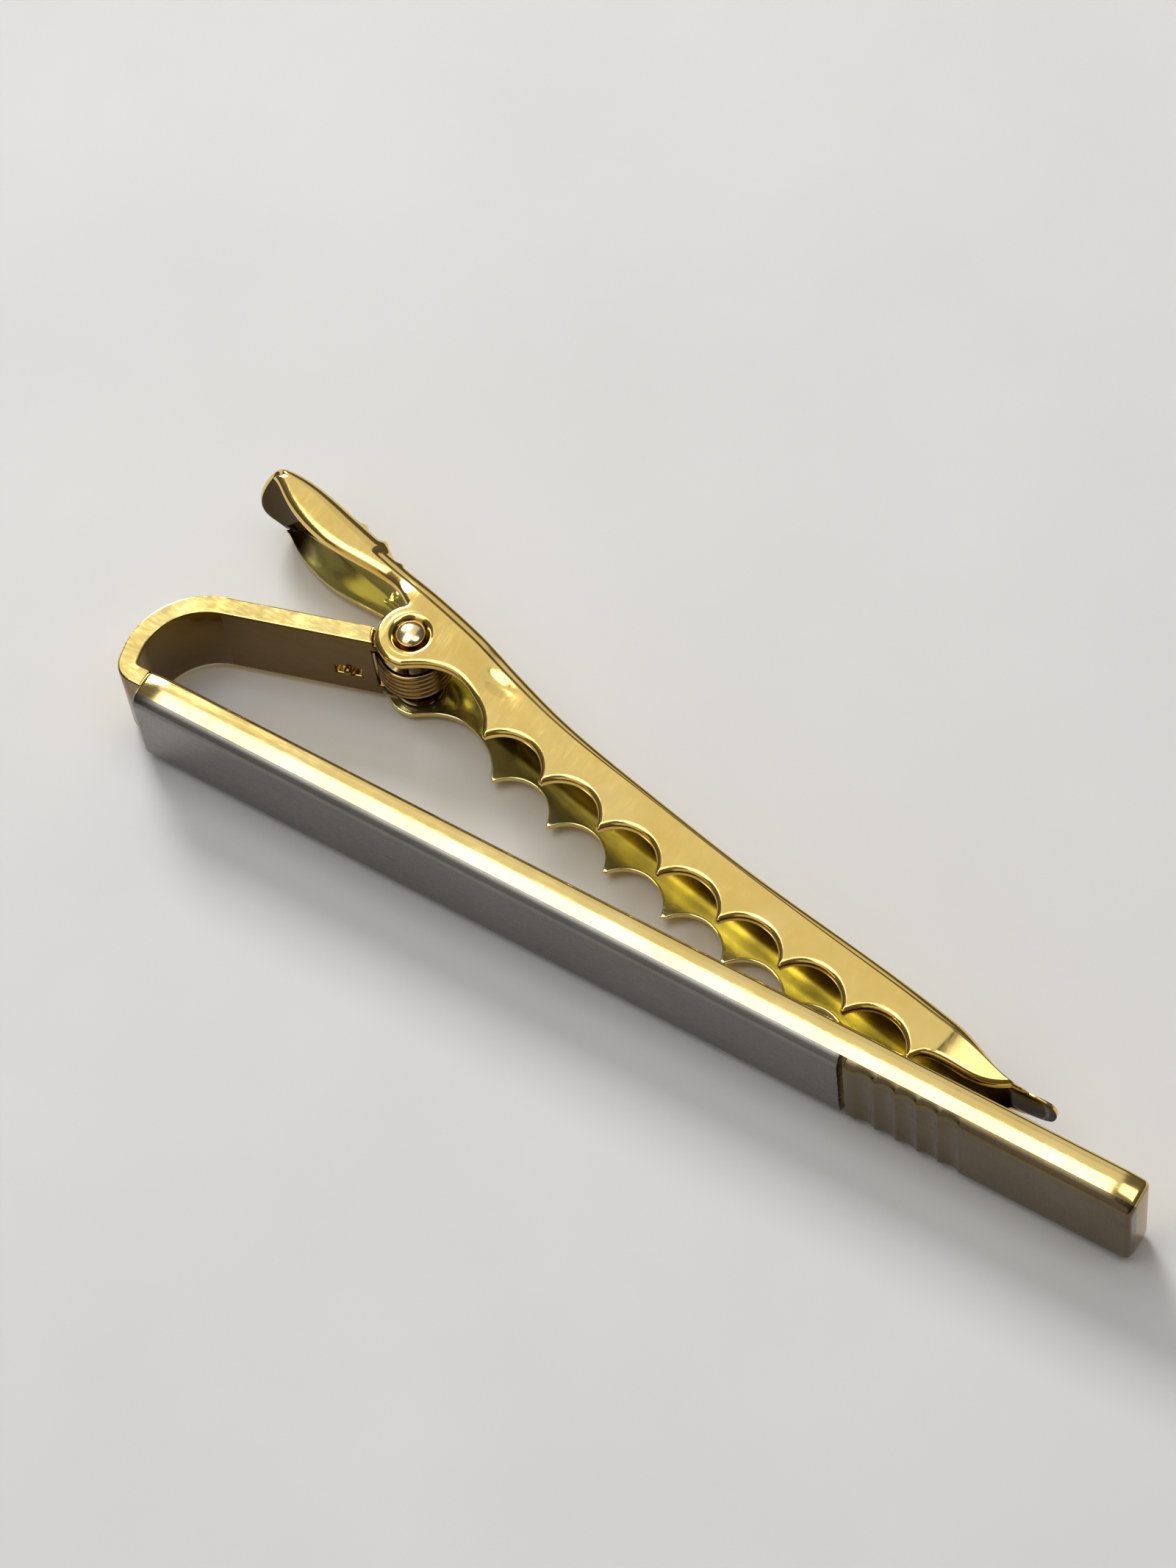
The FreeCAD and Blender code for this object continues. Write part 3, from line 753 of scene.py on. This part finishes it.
def sheet_row(columns, turn, share):
    """A row along the bend or the back: outer points, inner points and distances from the ends."""
    near_tail = 1 - smooth_step(columns, TAIL_START, TAIL_START + END_BLEND)
    near_tip = smooth_step(columns, TIP_START - END_BLEND, TIP_START)
    side = math.copysign(math.cos(turn), share)
    x = columns
    for _ in range(3):
        wide = half_width(np.clip(x, TAIL_START, None))
        rise = bend_rise(x)
        z = share * (wide - rise) + side * rise
        tail_z = min(abs(z[0]), TAIL_HALF)
        tail = TAIL_END + TAIL_ROUND - math.sqrt(TAIL_ROUND ** 2 - tail_z ** 2)
        tip = TIP_START + math.sqrt(max(TIP_RADIUS ** 2 - z[-1] ** 2, 0.0))
        x = columns + (tail - TAIL_START) * near_tail + (tip - TIP_START) * near_tip
    y, out = back_at(x)
    base = np.stack([x, y], 1)
    reach = bend_reach(x)
    under = reach * (1 - math.sin(turn)) - ridge_height(x, z)
    inside = reach - (reach - SHEET) * math.sin(turn)
    outer = np.column_stack((base - out * under[:, None], z))
    inner = np.column_stack((base - out * inside[:, None],
                             share * (wide - rise) + side * (rise - SHEET)))
    from_tail = TAIL_ROUND - np.hypot(x - TAIL_END - TAIL_ROUND, z)
    from_tip = np.where(x > TIP_START, TIP_RADIUS - np.hypot(x - TIP_START, z),
                        TIP_START - x + np.clip(TIP_RADIUS - np.abs(z), 0, None))
    slope = np.sqrt(1 + np.interp(x, BACK[:, 0], BACK_SLOPE) ** 2)
    return outer, inner, np.clip(np.minimum(from_tail, from_tip) * slope, 0, None)


def jaw_sheet():
    """Outer and inner points of the bent sheet, each point's distance from its edge, and faces."""
    columns = jaw_columns()
    flat, wall_faces, origin, edge = wall_net(columns)
    place = {o: i for i, o in enumerate(origin) if o >= 0}
    top = [place[j] for j in range(len(columns))]
    border = np.concatenate((flat[[top[-1]]], edge[::-1], flat[[top[0]]]))
    deep = distance(flat, border)
    wide = half_width(flat[:, 0], np.minimum(flat[:, 1], FAN_TOP))
    relief = ear_dimple(flat) - lever_roll(flat[:, 0], deep) - wall_dent(flat)
    outer_wall = np.column_stack((flat, wide + relief))
    inner_wall = np.column_stack((flat, wide - SHEET + np.minimum(relief, 0)))
    mirror = np.array((1, 1, -1))
    outer, inner = [outer_wall, outer_wall * mirror], [inner_wall, inner_wall * mirror]
    depth = [deep, deep]
    size = len(flat)
    faces = [tuple(f) for f in wall_faces]
    faces += [tuple(i + size for i in f[::-1]) for f in wall_faces]

    turns = np.radians(np.linspace(0, 90, 10))
    rows = [(a, 1.0) for a in turns[1:]]
    rows += [(math.pi / 2, share) for share in np.linspace(1, -1, 15)[1:-1]]
    rows += [(a, -1.0) for a in turns[:0:-1]]
    index = [top]
    total = 2 * size
    for turn, share in rows:
        for found, points in zip((outer, inner, depth), sheet_row(columns, turn, share)):
            found.append(points)
        index.append(list(range(total, total + len(columns))))
        total += len(columns)
    index.append([i + size for i in top])
    for above, below in zip(index, index[1:]):
        for j in range(len(columns) - 1):
            faces.append((above[j], above[j + 1], below[j + 1], below[j]))
    return np.concatenate(outer), np.concatenate(inner), np.concatenate(depth), faces


def make_jaw():
    outer, inner, depth, faces = jaw_sheet()
    through_sheet = inner - outer
    upper = outer + through_sheet * (rim_drop(depth, RIM) / SHEET)[:, None]
    lower = inner - through_sheet * (rim_drop(depth, INNER_RIM) / SHEET)[:, None]
    count = len(outer)
    sides = [(a, b) for f in faces for a, b in zip(f, f[1:] + f[:1])]
    known = set(sides)
    shell = faces + [tuple(i + count for i in f[::-1]) for f in faces]
    shell += [(b, a, a + count, b + count) for a, b in sides if (b, a) not in known]
    points = jaw_to_frame(np.concatenate((upper, lower)))
    obj = piece("jaw_skin", points, shell, jaw_gold, "jaw", "jaw")
    obj.data.materials.append(inner_gold)
    for polygon in obj.data.polygons[len(faces):2 * len(faces)]:
        polygon.material_index = 1


make_jaw()


# Spring: a hook through the arm's slot, close coils round the pin and a leg under the lever
WIRE, COIL_RADIUS, COIL_TURNS = 0.4, 1.77, 4
HOOK_HEIGHT, COIL_BOTTOM, COIL_TOP = 2.34, 2.62, 4.47
ARM_HEADING, COIL_START = math.radians(16.5), math.radians(172.0)
LEG_SEAT = (-7.04, 2.48, 0.0)


def spring_path():
    """The wire's middle line, from the hook's end to the leg's end."""
    way = np.array((math.cos(ARM_HEADING), math.sin(ARM_HEADING)))
    across = np.array((-way[1], way[0]))
    joins = COIL_RADIUS * np.array((math.cos(COIL_START), math.sin(COIL_START)))
    hook, bend, bend_x, bend_y = -3.4, 0.4, -3.0, 0.12
    flat = [(hook, y) for y in (-1.0, -0.8, -0.5, -0.2)]
    flat += [(bend_x + bend * math.cos(a), bend_y + bend * math.sin(a))
             for a in np.radians(np.linspace(180, 90, 7))]
    run_in = [(-2.75, 0.52), (-2.45, 0.52), (-2.1, 0.50), joins + (-0.035, 0.12), joins]
    flat += [tuple(p) for p in through(run_in, 0.05)[:-1]]
    path = []
    for x, y in flat:
        height = HOOK_HEIGHT + (COIL_BOTTOM - HOOK_HEIGHT) * smooth_step(x, bend_x, -1.8)
        path.append(np.append(PIN[:2] + way * x + across * y, height))

    seat = jaw_to_frame([LEG_SEAT])[0][:2] - PIN[:2]
    first = ARM_HEADING + COIL_START
    lean = math.asin(COIL_RADIUS / np.linalg.norm(seat))
    last = math.atan2(seat[1], seat[0]) + lean - math.pi / 2
    sweep = (last - first) % (2 * math.pi) + 2 * math.pi * COIL_TURNS
    for s in np.linspace(0, 1, int(sweep / math.radians(7.5)) + 1):
        a = first + sweep * s
        x, y = PIN[0] + COIL_RADIUS * math.cos(a), PIN[1] + COIL_RADIUS * math.sin(a)
        path.append(np.array((x, y, COIL_BOTTOM + (COIL_TOP - COIL_BOTTOM) * s)))
    leg_way = np.array((-math.sin(last), math.cos(last), 0.0))
    leg = leg_way * math.sqrt(seat @ seat - COIL_RADIUS ** 2)
    path += [path[-1] + leg * s for s in np.linspace(0, 1, 14)[1:]]
    return np.array(path)


def make_spring():
    around = 20
    path = spring_path()
    tangent = np.gradient(path, axis=0)
    tangent /= np.linalg.norm(tangent, axis=1)[:, None]
    angles = np.linspace(0, 2 * math.pi, around, endpoint=False)
    last = len(path) - 1
    sections = [(0, -0.10, 0.55), (0, -0.04, 0.88)] + [(i, 0.0, 1.0) for i in range(len(path))]
    sections += [(last, 0.04, 0.88), (last, 0.10, 0.55)]
    points = []
    for i, push, scale in sections:
        side = np.cross(tangent[i], (0.0, 0.0, 1.0))
        side /= np.linalg.norm(side)
        top = np.cross(side, tangent[i])
        centre = path[i] + tangent[i] * push
        points += [centre + WIRE / 2 * scale * (math.cos(a) * side + math.sin(a) * top)
                   for a in angles]
    sizes = len(sections), around
    faces = between_rings(*sizes) + end_caps(*sizes)
    coil = piece("spring_coil", points, faces, spring_gold, None, "torsion_spring")
    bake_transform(coil)


make_spring()


# Floor, light and camera
def floor():
    mesh = bpy.data.meshes.new("floor")
    size = 1.5
    corners = [(-size, -size, 0), (size, -size, 0), (size, size, 0), (-size, size, 0)]
    mesh.from_pydata(corners, [], [(0, 1, 2, 3)])
    obj = bpy.data.objects.new("floor", mesh)
    scene.collection.objects.link(obj)
    made, n = material("floor")
    where = n.add("ShaderNodeTexCoord").outputs["Object"]
    stops = ((0.3, (0.64, 0.635, 0.625)), (0.7, (0.67, 0.665, 0.655)))
    shader = n.add("ShaderNodeBsdfPrincipled")
    n.set(shader, Base_Color=ramp(n, noise(n, where, 60.0), stops), Roughness=0.95)
    n.link(shader.outputs["BSDF"], n.add("ShaderNodeOutputMaterial").inputs["Surface"])
    mesh.materials.append(made)
    obj.location.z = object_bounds()[0].z - 0.02 * MM
    obj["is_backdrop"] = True


def world():
    made = bpy.data.worlds.new("studio")
    scene.world = made
    made.use_nodes = True
    n = Nodes(made.node_tree)
    parts = n.add("ShaderNodeSeparateXYZ")
    n.link(n.add("ShaderNodeTexCoord").outputs["Generated"], parts.inputs["Vector"])
    stops = ((0.0, (0.08, 0.07, 0.06)), (0.5, (0.11, 0.10, 0.09)), (1.0, (0.14, 0.13, 0.12)))
    back = n.add("ShaderNodeBackground")
    n.set(back, Color=ramp(n, parts.outputs["Z"], stops), Strength=1.0)
    n.link(back.outputs["Background"], n.add("ShaderNodeOutputWorld").inputs["Surface"])


def camera():
    """The photograph's view, as fitted to the bar's edges; the focal length is in its pixels."""
    focal, photo_height, sensor = 6661.7667, 2133, 36.0
    azimuth, elevation, roll = 0.6900143, 1.0597516, -0.1572754
    eye = Vector((69.2916, -90.011, 212.629)) * MM
    back = Vector((math.sin(azimuth) * math.cos(elevation),
                   -math.cos(azimuth) * math.cos(elevation), math.sin(elevation)))
    right = Vector((math.cos(azimuth), math.sin(azimuth), 0))
    up = back.cross(right)
    c, s = math.cos(roll), math.sin(roll)
    right, up = c * right + s * up, c * up - s * right
    data = bpy.data.cameras.new("camera")
    data.sensor_width = sensor
    data.lens = focal / photo_height * sensor
    data.clip_start, data.clip_end = 0.01, 10.0
    obj = bpy.data.objects.new("camera", data)
    scene.collection.objects.link(obj)
    turn = Matrix((right, up, back)).transposed()
    obj.matrix_world = Matrix.Translation(eye) @ turn.to_4x4()
    scene.camera = obj


def panel(name, low, high, lean, far, width, level):
    """A soft panel between two angles from overhead towards the back, with its brightness."""
    aim = Vector((0.0, 0.0, 0.003))
    a = math.radians((low + high) / 2)
    out = Vector((lean, math.sin(a), math.cos(a))).normalized()
    data = bpy.data.lights.new(name, "AREA")
    data.shape = "RECTANGLE"
    data.size, data.size_y = width, 2 * far * math.tan(math.radians((high - low) / 2))
    data.energy = level * math.pi * data.size * data.size_y
    obj = bpy.data.objects.new(name, data)
    scene.collection.objects.link(obj)
    side = (Vector((1, 0, 0)) - out * out.x).normalized()
    turn = Matrix((side, out.cross(side), out)).transposed()
    obj.matrix_world = Matrix.Translation(aim + out * far) @ turn.to_4x4()
    obj.visible_camera = False


floor()
world()
camera()
panel("overhead", -22, 13, -0.30, 0.42, 0.17, 3.4)
panel("brow", -42, -23, -0.30, 0.45, 0.22, 1.2)
panel("middle", 15, 32, -0.30, 0.50, 0.26, 0.66)
panel("rear", 33, 57, -0.30, 0.52, 0.26, 0.55)
panel("front", -86, -42, 0.0, 0.60, 0.60, 0.40)
panel("end", -5, 17, 0.28, 0.45, 0.26, 2.2)
panel("key", 29, 47, -0.80, 0.55, 0.18, 21.0)
